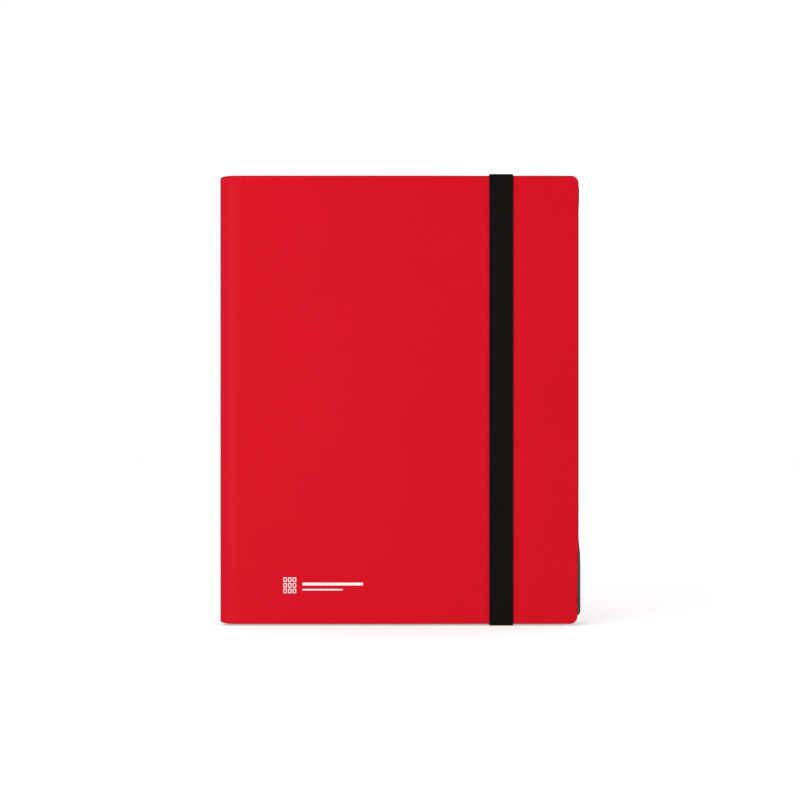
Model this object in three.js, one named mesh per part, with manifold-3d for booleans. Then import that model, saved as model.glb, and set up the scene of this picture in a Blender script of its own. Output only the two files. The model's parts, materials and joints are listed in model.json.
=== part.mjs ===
// Side-loading card binder: a folded sheet cover, twenty pocket leaves and an elastic strap.
// Millimetres. The binder stands upright: +Z is up, the spine is at -X and the front cover
// faces -Y. The origin is in the middle of the bottom of its box.
import * as THREE from "three";
import { mergeVertices } from "three/addons/utils/BufferGeometryUtils.js";
import Module from "manifold-3d";

const wasm = await Module();
wasm.setup();

// ---- Driving sizes ----

// the card that a pocket is made for, and the room round it
const cardWidth = 63.5;
const cardHeight = 88.9;
const cardSlackX = 3.2;
const cardSlackZ = 5.4; // a card goes in with its sleeve

// a leaf
const leafCount = 20;
const pocketColumns = 3;
const pocketRows = 3;
const weldWidth = 1.7; // welded line round each pocket
const bindingMargin = 28.48; // plain backing between the hinge line and the first pocket
const filmMargin = 14.0; // the pocket skin starts this far before the first pocket
const backingThickness = 0.3;
const filmThickness = 0.12;
const filmStandOff = 0.1; // from the backing to the skin of an empty pocket
const mouthWidth = 1.0; // slit that a card goes in by
const leafCornerRadius = 3.5;
const leafAir = 0.6; // between the leaves of a closed binder

// the cover
const sheetThickness = 1.2;
const creaseRadius = 3.0; // outside of the fold
const foldGap = 0.3; // between a cover and the fold that it turns on
const coverCornerRadius = 5.0;
const coverOverhang = 5.15; // past the leaves, at the top and at the bottom
const leafPeek = 0.8; // of the leaves past the fore-edge of the covers
const blockClearance = 0.4; // between the block of leaves and each cover

// the binding strip
const stripThickness = 0.8;
const stubThickness = 0.5;
const stubLength = 4.6;
const weldGap = 0.05;
const stripEdgeGap = 0.2; // between the strip's welded back and the start of each fold
const hingeGap = 0.25; // from the hinge line to the stub, and to the leaf

// the strap
const strapWidth = 15.9;
const strapThickness = 1.0;
const strapFromForeEdge = 51.8; // to the middle of the strap
const strapClearance = 0.2; // to the cover
const strapBendRadius = 0.4; // inside of the bend round the cover's edge
const strapJoinGap = 0.05;
const slotInset = 3.4; // from the cover's edge to the middle of the slot
const slotClearance = 0.4; // round the strap in its slot

// the steel bar that is crimped on each end of the strap
const crimpThickness = 0.5;
const crimpGap = 0.08; // on each side of the strap's end
const crimpDepth = 3.0;
const crimpOverreach = 2.5; // past each end of the slot
const crimpBackGap = 0.15; // to the inside of the cover

// facets of the round stretches
const cornerSteps = 6;
const creaseSteps = 8;
const bendSteps = 5;

// ---- Sizes that follow ----

const pocketWidth = cardWidth + cardSlackX;
const pocketHeight = cardHeight + cardSlackZ;
const columnPitch = pocketWidth + weldWidth;
const rowPitch = pocketHeight + weldWidth;
const leafLength = bindingMargin + pocketColumns * columnPitch;
const leafHeight = pocketRows * rowPitch + weldWidth;
const filmFace = backingThickness / 2 + filmStandOff; // inside of the skin, from the leaf's middle
const leafThickness = 2 * (filmFace + filmThickness);
const leafFold = filmStandOff + filmThickness; // the skin's fold, past the backing's fore-edge
const leafPitch = leafThickness + leafAir;

const hingeInset = sheetThickness + weldGap + stripThickness + stubLength + hingeGap;
const coverWidth = hingeInset + leafLength + leafFold - leafPeek;
const coverHeight = leafHeight + 2 * coverOverhang;
const coverDepth = leafCount * leafPitch + 2 * (blockClearance + sheetThickness);

const frontFace = -coverDepth / 2;
const backFace = coverDepth / 2;
const coverBottom = strapThickness + strapClearance;
const coverTop = coverBottom + coverHeight;
const leafBottom = coverBottom + coverOverhang;
const leafTop = leafBottom + leafHeight;
const spineX = -(coverWidth + leafPeek) / 2;
const foreEdgeX = spineX + coverWidth;
const hingeX = spineX + hingeInset;
const panelStartX = spineX + creaseRadius + foldGap;

const strapX = foreEdgeX - strapFromForeEdge;
const strapReach = strapClearance + strapThickness; // outside of the strap, from the cover
const bendCentre = strapBendRadius - strapClearance; // of the strap's bend, inside the cover's faces
const slotLength = strapWidth + 2 * slotClearance;
const slotHeight = strapThickness + 2 * slotClearance;

// ---- Materials ----

function finish(color, roughness, metalness = 0, opacity = 1) {
  return new THREE.MeshStandardMaterial({
    color,
    roughness,
    metalness,
    opacity,
    transparent: opacity < 1,
  });
}

const redSheet = () => finish(0xd81526, 0.45);
const blackSheet = () => finish(0x17181a, 0.5);
const clearFilm = () => finish(0xdfe4e6, 0.15, 0, 0.3);
const elastic = () => finish(0x141516, 0.85);
const steel = () => finish(0xb4b6b8, 0.35, 0.9);

// ---- Building blocks ----

const binder = new THREE.Group();

function add(name, geometry, material) {
  const mesh = new THREE.Mesh(geometry, material);
  mesh.name = name;
  binder.add(mesh);
}

// A plate drawn in x and z, whose thickness runs from y0 to y1.
function plateXZ(shape, y0, y1) {
  const geometry = new THREE.ExtrudeGeometry(shape, {
    depth: y1 - y0,
    bevelEnabled: false,
    curveSegments: cornerSteps,
  });
  geometry.rotateX(Math.PI / 2);
  geometry.translate(0, y1, 0);
  return geometry;
}

// A section drawn in x and y, drawn out in z.
function barZ(shape, z0, z1, steps) {
  const geometry = new THREE.ExtrudeGeometry(shape, {
    depth: z1 - z0,
    bevelEnabled: false,
    curveSegments: steps,
  });
  geometry.translate(0, 0, z0);
  return geometry;
}

// A section drawn in y and z, drawn out in x.
function barX(shape, x0, x1, steps) {
  const geometry = new THREE.ExtrudeGeometry(shape, {
    depth: x1 - x0,
    bevelEnabled: false,
    curveSegments: steps,
  });
  const yzToWorld = new THREE.Matrix4().makeBasis(
    new THREE.Vector3(0, 1, 0),
    new THREE.Vector3(0, 0, 1),
    new THREE.Vector3(1, 0, 0),
  );
  geometry.applyMatrix4(yzToWorld);
  geometry.translate(x0, 0, 0);
  return geometry;
}

function box(x0, x1, y0, y1, z0, z1) {
  const geometry = new THREE.BoxGeometry(x1 - x0, y1 - y0, z1 - z0);
  geometry.translate((x0 + x1) / 2, (y0 + y1) / 2, (z0 + z1) / 2);
  return geometry;
}

function polygon(points) {
  return new THREE.Shape(points.map(([u, v]) => new THREE.Vector2(u, v)));
}

// A rectangle with square corners at its x0 side and round ones at its x1 side.
function roundedAtForeEdge(x0, x1, z0, z1, radius) {
  const shape = new THREE.Shape();
  shape.moveTo(x0, z0);
  shape.lineTo(x1 - radius, z0);
  shape.absarc(x1 - radius, z0 + radius, radius, -Math.PI / 2, 0, false);
  shape.lineTo(x1, z1 - radius);
  shape.absarc(x1 - radius, z1 - radius, radius, 0, Math.PI / 2, false);
  shape.lineTo(x0, z1);
  shape.closePath();
  return shape;
}

function toSolid(geometry) {
  const bare = geometry.clone();
  bare.deleteAttribute("normal");
  bare.deleteAttribute("uv");
  const merged = mergeVertices(bare, 1e-4);
  return new wasm.Manifold(
    new wasm.Mesh({
      numProp: 3,
      vertProperties: merged.attributes.position.array,
      triVerts: new Uint32Array(merged.index.array),
    }),
  );
}

function toGeometry(solid) {
  const { vertProperties, triVerts } = solid.getMesh();
  const geometry = new THREE.BufferGeometry();
  geometry.setAttribute("position", new THREE.BufferAttribute(vertProperties, 3));
  geometry.setIndex(new THREE.BufferAttribute(triVerts, 1));
  const flat = geometry.toNonIndexed();
  flat.computeVertexNormals();
  return flat;
}

function cut(geometry, tools) {
  const solid = tools.reduce((left, tool) => left.subtract(toSolid(tool)), toSolid(geometry));
  return toGeometry(solid);
}

// ---- The cover: one folded sheet, parted where its two creases bend ----

function coverPanel() {
  return roundedAtForeEdge(panelStartX, foreEdgeX, coverBottom, coverTop, coverCornerRadius);
}

function frontPanel() {
  return plateXZ(coverPanel(), frontFace, frontFace + sheetThickness);
}

function backPanel() {
  const panel = plateXZ(coverPanel(), backFace - sheetThickness, backFace);
  const slots = [coverBottom + slotInset, coverTop - slotInset].map((z) =>
    box(
      strapX - slotLength / 2,
      strapX + slotLength / 2,
      backFace - 2 * sheetThickness,
      backFace + sheetThickness,
      z - slotHeight / 2,
      z + slotHeight / 2,
    ),
  );
  return cut(panel, slots);
}

// The spine with a quarter round at each side, up to where each cover starts to turn.
function spinePanel() {
  const bendX = spineX + creaseRadius;
  const frontBendY = frontFace + creaseRadius;
  const backBendY = backFace - creaseRadius;
  const inside = creaseRadius - sheetThickness;
  const section = new THREE.Shape();
  section.moveTo(bendX, backFace);
  section.absarc(bendX, backBendY, creaseRadius, Math.PI / 2, Math.PI, false);
  section.lineTo(spineX, frontBendY);
  section.absarc(bendX, frontBendY, creaseRadius, Math.PI, 1.5 * Math.PI, false);
  section.lineTo(bendX, frontBendY - inside);
  section.absarc(bendX, frontBendY, inside, 1.5 * Math.PI, Math.PI, true);
  section.lineTo(bendX - inside, backBendY);
  section.absarc(bendX, backBendY, inside, Math.PI, Math.PI / 2, true);
  section.closePath();
  return barZ(section, coverBottom, coverTop, creaseSteps);
}

// ---- The binding strip, a comb with one stub behind each leaf ----

function leafY(index) {
  return (index - (leafCount + 1) / 2) * leafPitch;
}

function bindingStrip() {
  const back = spineX + sheetThickness + weldGap;
  const root = back + stripThickness;
  const tip = root + stubLength;
  const backHalf = coverDepth / 2 - creaseRadius - stripEdgeGap;
  const points = [
    [back, backHalf],
    [back, -backHalf],
  ];
  for (let index = 1; index <= leafCount; index += 1) {
    const near = leafY(index) - stubThickness / 2;
    const far = leafY(index) + stubThickness / 2;
    points.push([root, near], [tip, near], [tip, far], [root, far]);
  }
  return barZ(polygon(points), leafBottom, leafTop, 1);
}

// ---- The leaves ----

function leafBacking(y) {
  const outline = roundedAtForeEdge(
    hingeX + hingeGap,
    hingeX + leafLength,
    leafBottom,
    leafTop,
    leafCornerRadius,
  );
  return plateXZ(outline, y - backingThickness / 2, y + backingThickness / 2);
}

// The clear skin: one film folded round the fore-edge, with a slit for each pocket on each side.
function leafPockets(y) {
  const start = hingeX + bindingMargin - filmMargin;
  const fold = hingeX + leafLength + filmStandOff;
  const inner = filmFace;
  const outer = filmFace + filmThickness;
  const section = polygon([
    [start, y - outer],
    [fold + filmThickness, y - outer],
    [fold + filmThickness, y + outer],
    [start, y + outer],
    [start, y + inner],
    [fold, y + inner],
    [fold, y - inner],
    [start, y - inner],
  ]);
  const skin = barZ(section, leafBottom, leafTop, 1);
  const mouths = [];
  for (let column = 0; column < pocketColumns; column += 1) {
    const x = hingeX + bindingMargin + column * columnPitch;
    for (let row = 0; row < pocketRows; row += 1) {
      const z = leafBottom + weldWidth + row * rowPitch;
      mouths.push(box(x, x + mouthWidth, y - 2 * outer, y + 2 * outer, z, z + pocketHeight));
    }
  }
  return cut(skin, mouths);
}

// ---- The strap, one length of elastic in five stretches ----

const strapLeft = strapX - strapWidth / 2;
const strapRight = strapX + strapWidth / 2;
const bendY = coverDepth / 2 - bendCentre;
const bendBottomZ = coverBottom + bendCentre;
const bendTopZ = coverTop - bendCentre;
const bendOutside = strapBendRadius + strapThickness;
const strapNear = coverDepth / 2 + strapClearance;
const strapFar = coverDepth / 2 + strapReach;

// Down the front, and round the cover's edge at both ends.
function strapFrontRun() {
  const run = new THREE.Shape();
  const bend = -bendY;
  run.moveTo(-strapFar, bendBottomZ);
  run.absarc(bend, bendBottomZ, bendOutside, Math.PI, 1.5 * Math.PI, false);
  run.lineTo(bend, bendBottomZ - strapBendRadius);
  run.absarc(bend, bendBottomZ, strapBendRadius, 1.5 * Math.PI, Math.PI, true);
  run.lineTo(-strapNear, bendTopZ);
  run.absarc(bend, bendTopZ, strapBendRadius, Math.PI, Math.PI / 2, true);
  run.lineTo(bend, bendTopZ + bendOutside);
  run.absarc(bend, bendTopZ, bendOutside, Math.PI / 2, Math.PI, false);
  run.closePath();
  return barX(run, strapLeft, strapRight, bendSteps);
}

// Under the bottom edge, or over the top edge, from the front cover to the back cover.
function strapLeg(z0) {
  const y = bendY - strapJoinGap;
  return box(strapLeft, strapRight, -y, y, z0, z0 + strapThickness);
}

// Round the back cover's edge, up to the slot and in through it. `up` is 1 at the bottom.
function strapTail(edgeZ, up) {
  const slotZ = edgeZ + up * slotInset;
  const bendZ = edgeZ + up * bendCentre;
  const slotNear = slotZ - (up * strapThickness) / 2;
  const slotFar = slotZ + (up * strapThickness) / 2;
  const end = backFace - sheetThickness - crimpBackGap - crimpDepth + crimpThickness + crimpGap;
  const at = (angle, radius) => [bendY + radius * Math.cos(angle), bendZ - up * radius * Math.sin(angle)];
  const points = [
    [end, slotNear],
    [strapNear, slotNear],
  ];
  for (let step = 0; step <= bendSteps; step += 1) {
    points.push(at((step / bendSteps) * (Math.PI / 2), strapBendRadius));
  }
  for (let step = bendSteps; step >= 0; step -= 1) {
    points.push(at((step / bendSteps) * (Math.PI / 2), bendOutside));
  }
  points.push([strapFar, slotFar], [end, slotFar]);
  return barX(polygon(points), strapLeft, strapRight, 1);
}

// The steel bar on the strap's end, inside the cover: folded over the end, and longer than the slot.
function strapCrimp(slotZ) {
  const back = backFace - sheetThickness - crimpBackGap;
  const front = back - crimpDepth;
  const inner = strapThickness / 2 + crimpGap;
  const outer = inner + crimpThickness;
  const half = slotLength / 2 + crimpOverreach;
  const section = polygon([
    [back, slotZ - outer],
    [back, slotZ - inner],
    [front + crimpThickness, slotZ - inner],
    [front + crimpThickness, slotZ + inner],
    [back, slotZ + inner],
    [back, slotZ + outer],
    [front, slotZ + outer],
    [front, slotZ - outer],
  ]);
  return barX(section, strapX - half, strapX + half, 1);
}

// ---- The binder ----

add("cover_front_panel", frontPanel(), redSheet());
add("cover_spine", spinePanel(), redSheet());
add("cover_back_panel", backPanel(), redSheet());
add("binding_strip", bindingStrip(), blackSheet());

for (let index = 1; index <= leafCount; index += 1) {
  const label = String(index).padStart(2, "0");
  add(`leaf_${label}_backing`, leafBacking(leafY(index)), blackSheet());
  add(`leaf_${label}_pockets`, leafPockets(leafY(index)), clearFilm());
}

add("strap_front_run", strapFrontRun(), elastic());
add("strap_bottom_leg", strapLeg(0), elastic());
add("strap_top_leg", strapLeg(coverTop + strapClearance), elastic());
add("strap_bottom_tail", strapTail(coverBottom, 1), elastic());
add("strap_top_tail", strapTail(coverTop, -1), elastic());
add("strap_bottom_crimp", strapCrimp(coverBottom + slotInset), steel());
add("strap_top_crimp", strapCrimp(coverTop - slotInset), steel());

export default binder;
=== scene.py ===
import json
import math

import bmesh
import bpy
import numpy as np
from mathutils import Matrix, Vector

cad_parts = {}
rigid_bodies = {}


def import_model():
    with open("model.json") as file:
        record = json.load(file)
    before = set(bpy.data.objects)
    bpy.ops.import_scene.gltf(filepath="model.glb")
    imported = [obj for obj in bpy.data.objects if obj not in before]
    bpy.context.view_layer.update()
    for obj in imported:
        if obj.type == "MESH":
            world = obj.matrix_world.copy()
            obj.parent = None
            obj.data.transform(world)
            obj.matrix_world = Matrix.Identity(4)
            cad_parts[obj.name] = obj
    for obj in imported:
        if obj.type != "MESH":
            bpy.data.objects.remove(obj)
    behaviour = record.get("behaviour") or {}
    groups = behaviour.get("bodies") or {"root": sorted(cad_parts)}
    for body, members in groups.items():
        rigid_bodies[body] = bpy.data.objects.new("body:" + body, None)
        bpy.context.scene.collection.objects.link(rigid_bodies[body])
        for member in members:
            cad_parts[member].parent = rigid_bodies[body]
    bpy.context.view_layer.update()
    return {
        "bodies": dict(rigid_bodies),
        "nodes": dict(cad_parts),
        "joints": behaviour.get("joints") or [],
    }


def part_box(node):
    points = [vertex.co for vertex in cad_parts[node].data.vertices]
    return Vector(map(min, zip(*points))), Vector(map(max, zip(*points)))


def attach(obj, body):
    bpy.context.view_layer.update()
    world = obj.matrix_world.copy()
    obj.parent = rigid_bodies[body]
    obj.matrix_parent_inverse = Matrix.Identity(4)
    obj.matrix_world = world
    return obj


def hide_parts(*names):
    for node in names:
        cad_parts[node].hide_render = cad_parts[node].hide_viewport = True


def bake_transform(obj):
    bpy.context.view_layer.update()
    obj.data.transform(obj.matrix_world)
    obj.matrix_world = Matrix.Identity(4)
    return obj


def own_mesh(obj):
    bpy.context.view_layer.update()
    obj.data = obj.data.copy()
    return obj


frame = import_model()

mm = 0.001
scene = bpy.context.scene
scene.view_settings.view_transform = "Standard"

# places that the CAD settles
frontLow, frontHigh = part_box("cover_front_panel")
spineLow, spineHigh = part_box("cover_spine")
runLow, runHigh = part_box("strap_front_run")
spineX, foreX = spineLow.x, frontHigh.x
coverBottom, coverTop = frontLow.z, frontHigh.z
halfDepth = spineHigh.y
sheet = frontHigh.y - frontLow.y
foldRadius = spineHigh.x - spineLow.x
strapX = (runLow.x + runHigh.x) / 2
strapHalf = (runHigh.x - runLow.x) / 2
leafLabels = sorted(body[-2:] for body in frame["bodies"] if body.startswith("leaf_"))
hinges = {joint["name"]: Vector(joint["pos_m"]) for joint in frame["joints"]}
print("frame loaded:", len(frame["nodes"]), "nodes,", len(leafLabels), "leaves")


# node helpers

class num:
    # a number socket that Python's operators work on
    def __init__(self, graph, socket):
        self.graph = graph
        self.socket = socket

    def __add__(self, other):
        return self.graph.math("ADD", self, other)

    __radd__ = __add__

    def __sub__(self, other):
        return self.graph.math("SUBTRACT", self, other)

    def __rsub__(self, other):
        return self.graph.math("SUBTRACT", other, self)

    def __mul__(self, other):
        return self.graph.math("MULTIPLY", self, other)

    __rmul__ = __mul__

    def __truediv__(self, other):
        return self.graph.math("DIVIDE", self, other)

    def __rtruediv__(self, other):
        return self.graph.math("DIVIDE", other, self)

    def __abs__(self):
        return self.graph.math("ABSOLUTE", self)


class nodeGraph:
    # one node tree, of either kind, with one way to add a node
    def __init__(self, tree):
        self.tree = tree

    def node(self, kind, settings=None, inputs=None):
        made = self.tree.nodes.new(kind)
        for name, value in (settings or {}).items():
            setattr(made, name, value)
        for key, value in (inputs or {}).items():
            self.feed(made.inputs[key], value)
        return made

    def feed(self, socket, value):
        if isinstance(value, num):
            value = value.socket
        if isinstance(value, bpy.types.NodeSocket):
            self.tree.links.new(value, socket)
        else:
            socket.default_value = value

    def math(self, operation, *values):
        made = self.node("ShaderNodeMath", {"operation": operation}, dict(enumerate(values)))
        return num(self, made.outputs[0])

    def sine(self, value):
        return self.math("SINE", value)

    def cosine(self, value):
        return self.math("COSINE", value)

    def ease(self, value, low, high, start=0.0, end=1.0):
        # smooth step of value from low to high
        made = self.node(
            "ShaderNodeMapRange",
            {"interpolation_type": "SMOOTHSTEP"},
            {"Value": value, "From Min": low, "From Max": high, "To Min": start, "To Max": end},
        )
        return num(self, made.outputs["Result"])

    def combine(self, x, y, z):
        return self.node("ShaderNodeCombineXYZ", None, {"X": x, "Y": y, "Z": z}).outputs["Vector"]

    def separate(self, vector):
        made = self.node("ShaderNodeSeparateXYZ", None, {"Vector": vector})
        return [num(self, made.outputs[axis]) for axis in "XYZ"]


# materials

class finishGraph(nodeGraph):
    # a material's tree, with its Principled shader
    def __init__(self, name, **constants):
        self.material = bpy.data.materials.new(name)
        self.material.use_nodes = True
        super().__init__(self.material.node_tree)
        self.shader = self.tree.nodes["Principled BSDF"]
        for socket, value in constants.items():
            self.shader.inputs[socket.replace("_", " ")].default_value = value
        self.place = self.node("ShaderNodeTexCoord").outputs["Object"]

    def stretched(self, scale):
        inputs = {"Vector": self.place, "Scale": scale}
        return self.node("ShaderNodeMapping", {"vector_type": "POINT"}, inputs).outputs["Vector"]

    def noise(self, size, detail=2.0, rough=0.5, where=None):
        # size is the width of one blotch, in metres
        made = self.node(
            "ShaderNodeTexNoise",
            None,
            {"Vector": where or self.place, "Scale": 1.0 / size, "Detail": detail, "Roughness": rough},
        )
        return num(self, made.outputs["Fac"])

    def cells(self, size, where=None):
        made = self.node(
            "ShaderNodeTexVoronoi",
            {"feature": "SMOOTH_F1"},
            {"Vector": where or self.place, "Scale": 1.0 / size, "Smoothness": 0.6},
        )
        return num(self, made.outputs["Distance"])

    def attribute(self, name):
        made = self.node("ShaderNodeAttribute", {"attribute_name": name})
        return num(self, made.outputs["Fac"])

    def blendColour(self, share, first, second):
        made = self.node("ShaderNodeMix", {"data_type": "RGBA"}, {"Factor": share})
        for key, value in ((6, first), (7, second)):
            self.feed(made.inputs[key], value if isinstance(value, bpy.types.NodeSocket) else (*value, 1.0))
        return made.outputs[2]

    def finish(self, colour, roughness, height=None, heightSize=0.0, alpha=None):
        given = {"Base Color": colour, "Roughness": roughness, "Alpha": alpha}
        for socket, value in given.items():
            if value is not None:
                self.feed(self.shader.inputs[socket], value)
        if height is not None:
            inputs = {"Strength": 1.0, "Distance": heightSize, "Height": height}
            bump = self.node("ShaderNodeBump", None, inputs)
            self.feed(self.shader.inputs["Normal"], bump.outputs["Normal"])
        return self.material


redLook = {
    "main": (0.586, 0.0018, 0.0125),
    "deep": (0.570, 0.0016, 0.0118),
    "rim": (0.30, 0.003, 0.012),  # painted shade, where the sheet is cut
    "stressed": (0.78, 0.045, 0.058),  # where it is folded or knocked
    "foldShare": 0.42,  # share of the rim's painted shade that is painted along a fold
    "mottleSize": 90.0 * mm,
    "cloudSize": 7.0 * mm,
    "grainSize": 0.55 * mm,
    "pebbleSize": 1.9 * mm,
    "scuffSize": 0.6 * mm,
    "rimWearSize": 1.7 * mm,
    "foldWearSize": 2.4 * mm,
    "grainHeight": 0.03 * mm,
}


def redSheetFinish():
    g = finishGraph("redSheet", Specular_IOR_Level=0.085)
    mottle = g.noise(redLook["mottleSize"])
    cloud = g.noise(redLook["cloudSize"])
    grain = g.cells(redLook["grainSize"])
    pebble = g.noise(redLook["pebbleSize"])
    scuff = g.noise(redLook["scuffSize"], 3.0, 0.6, g.stretched((1.0, 1.0, 0.03)))
    base = g.blendColour(g.ease(mottle * 0.7 + cloud * 0.3, 0.35, 0.65), redLook["deep"], redLook["main"])
    rim = g.attribute("rim")
    fold = g.attribute("fold")
    # painted shade: the cut rim and the crown of the fold are darkened towards the rim colour
    rimAndFoldShaded = g.blendColour(g.math("MAXIMUM", rim, fold * redLook["foldShare"]), base, redLook["rim"])
    worn = rim * g.ease(g.noise(redLook["rimWearSize"], 4.0), 0.58, 0.68, 0.0, 0.4)
    worn = worn + fold * g.ease(g.noise(redLook["foldWearSize"], 4.0), 0.55, 0.7, 0.0, 0.06)
    colour = g.blendColour(worn, rimAndFoldShaded, redLook["stressed"])
    roughness = 0.38 + 0.08 * mottle + 0.10 * pebble + 0.06 * scuff
    height = grain * 0.6 + pebble * 0.7 + scuff * 0.12
    return g.finish(colour, roughness, height, redLook["grainHeight"])


blackLook = {
    "main": (0.0050, 0.0051, 0.0056),
    "dusty": (0.0125, 0.0125, 0.0132),
    "cloudSize": 25.0 * mm,
    "grainSize": 0.5 * mm,
    "drawnSize": 0.5 * mm,
    "grainHeight": 0.03 * mm,
}


def blackSheetFinish():
    g = finishGraph("blackSheet", Specular_IOR_Level=0.22)
    cloud = g.noise(blackLook["cloudSize"], 4.0)
    grain = g.cells(blackLook["grainSize"])
    drawn = g.noise(blackLook["drawnSize"], 2.0, 0.5, g.stretched((0.05, 1.0, 1.0)))
    dust = g.ease(cloud, 0.45, 0.75) * 0.5 + g.attribute("wear") * 0.6
    colour = g.blendColour(dust, blackLook["main"], blackLook["dusty"])
    roughness = 0.44 + 0.14 * cloud + 0.06 * drawn
    return g.finish(colour, roughness, grain * 0.7 + drawn * 0.5, blackLook["grainHeight"])


filmLook = {
    "tint": (0.10, 0.103, 0.108),
    "frost": (0.112, 0.114, 0.119),
    "clear": 0.24,  # how much of the film is seen, and not what is behind it
    "welded": 0.50,
    "rippleSize": 22.0 * mm,
    "fineSize": 1.1 * mm,
    "knurlPitch": 0.9 * mm,  # pressed into the welds
    "height": 0.05 * mm,
}


def clearFilmFinish():
    g = finishGraph("clearFilm", Specular_IOR_Level=1.0, IOR=1.49)
    weld = g.attribute("weld")
    ripple = g.noise(filmLook["rippleSize"], 2.0, 0.4, g.stretched((1.0, 1.0, 0.5)))
    fine = g.noise(filmLook["fineSize"])
    x, _, z = g.separate(g.place)
    turns = math.tau / filmLook["knurlPitch"]
    knurl = g.sine(x * turns) * g.sine(z * turns)
    colour = g.blendColour(weld, filmLook["tint"], filmLook["frost"])
    alpha = filmLook["clear"] + weld * (filmLook["welded"] - filmLook["clear"]) + 0.03 * ripple
    roughness = 0.10 + 0.06 * fine + weld * 0.28
    height = ripple * 9.0 + fine * 0.06 + weld * knurl * 0.5
    return g.finish(colour, roughness, height, filmLook["height"], alpha)


elasticLook = {
    "yarn": (0.0025, 0.0017, 0.0010),
    "crest": (0.0085, 0.0068, 0.0054),
    "ribPitch": 0.883 * mm,
    "pickPitch": 0.62 * mm,
    "fuzzSize": 0.22 * mm,
    "streaks": (900.0, 14.0),  # per metre, across and along
    "weaveHeight": 0.09 * mm,
}


def elasticFinish():
    g = finishGraph("elastic", Specular_IOR_Level=0.07, Sheen_Weight=0.03, Sheen_Roughness=0.5)
    across = g.attribute("across")
    along = g.attribute("along")
    rib = across * (math.tau / elasticLook["ribPitch"])
    pick = along * (math.tau / elasticLook["pickPitch"])
    weave = g.sine(pick + g.sine(rib) * 1.4) * 0.5 + g.sine(rib * 2.0) * 0.2
    fuzz = g.noise(elasticLook["fuzzSize"], 4.0, 0.65)
    perAcross, perAlong = elasticLook["streaks"]
    streak = g.noise(1.0, 2.0, 0.5, g.combine(across * perAcross, along * perAlong, 0.0))
    shade = g.ease(weave * 0.4 + fuzz * 0.7 + streak * 0.35, 0.25, 0.95)
    colour = g.blendColour(shade, elasticLook["yarn"], elasticLook["crest"])
    return g.finish(colour, 0.72 + 0.18 * fuzz, weave + fuzz * 0.9, elasticLook["weaveHeight"])


steelLook = {
    "bright": (0.56, 0.55, 0.53),
    "stained": (0.36, 0.35, 0.34),
    "drawnSize": 0.35 * mm,
    "stainSize": 5.0 * mm,
    "scratchHeight": 0.01 * mm,
}


def crimpSteelFinish():
    g = finishGraph("crimpSteel", Metallic=1.0)
    drawn = g.noise(steelLook["drawnSize"], 3.0, 0.6, g.stretched((0.04, 1.0, 1.0)))
    stain = g.noise(steelLook["stainSize"], 3.0)
    colour = g.blendColour(stain * 0.6 + drawn * 0.3, steelLook["bright"], steelLook["stained"])
    return g.finish(colour, 0.26 + 0.16 * drawn + 0.1 * stain, drawn, steelLook["scratchHeight"])


inkLook = {
    "solid": (0.86, 0.86, 0.85),
    "thin": (0.74, 0.73, 0.73),
    "screenSize": 0.35 * mm,
    "patchSize": 5.0 * mm,
    "height": 0.008 * mm,
}


def printInkFinish():
    g = finishGraph("printInk", Specular_IOR_Level=0.3)
    screen = g.noise(inkLook["screenSize"], 3.0, 0.6)
    patch = g.noise(inkLook["patchSize"])
    colour = g.blendColour(g.ease(screen * 0.6 + patch * 0.4, 0.4, 0.7), inkLook["solid"], inkLook["thin"])
    return g.finish(colour, 0.42 + 0.15 * screen, screen, inkLook["height"])


floorLook = {
    "light": (0.95, 0.95, 0.95),
    "shade": (0.93, 0.93, 0.935),
    "cloudSize": 0.8,
    "glow": 0.42,
}


def studioFloorFinish():
    # a pale table, lit a little from inside, so that its shadows stay soft
    white = (1.0, 1.0, 1.0, 1.0)
    g = finishGraph(
        "studioFloor", Specular_IOR_Level=0.0, Emission_Color=white, Emission_Strength=floorLook["glow"],
    )
    faint = g.noise(floorLook["cloudSize"])
    colour = g.blendColour(faint, floorLook["shade"], floorLook["light"])
    return g.finish(colour, 0.9 + 0.02 * faint)


redSheet = redSheetFinish()
blackSheet = blackSheetFinish()
clearFilm = clearFilmFinish()
elastic = elasticFinish()
crimpSteel = crimpSteelFinish()
printInk = printInkFinish()
studioFloor = studioFloorFinish()
print("materials made")


# camera, floor and light

stage = {
    "lens": 100.0,
    "sensor": 36.0,
    "widthSeen": 535.5 * mm,  # at the front cover
    "besideMiddle": 0.44 * mm,
    "belowMiddle": 0.13 * mm,
    "clip": (0.05, 50.0),
    "floorSize": 9.0,
    "whiteRadius": 8.0,
    "worldStrength": 0.30,
    "suns": (  # name, strength, softness, tilt from straight down, turn about the vertical
        ("skyLeft", 0.55, 70.0, 38.0, -50.0),
        ("skyRight", 0.30, 80.0, 42.0, 48.0),
        ("skyBack", 0.45, 80.0, 40.0, 170.0),
    ),
    "softBoxes": (  # name, power, size, place, aimed at
        ("softLeft", 6.2, (0.7, 0.7), (-0.72, -0.95, 0.34), (-0.05, 0.0, 0.17)),
        ("softRight", 2.0, (0.8, 1.2), (1.3, -0.9, 0.7), (0.0, 0.0, 0.15)),
    ),
}


def addCamera():
    data = bpy.data.cameras.new("camera")
    data.lens = stage["lens"]
    data.sensor_width = stage["sensor"]
    data.clip_start, data.clip_end = stage["clip"]
    camera = bpy.data.objects.new("camera", data)
    scene.collection.objects.link(camera)
    away = stage["widthSeen"] * stage["lens"] / stage["sensor"]
    middleX = (spineX + foreX) / 2 + stage["besideMiddle"]
    middleZ = (coverBottom + coverTop) / 2 - stage["belowMiddle"]
    camera.location = (middleX, -halfDepth - away, middleZ)
    camera.rotation_euler = (math.pi / 2, 0.0, 0.0)
    scene.camera = camera


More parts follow.
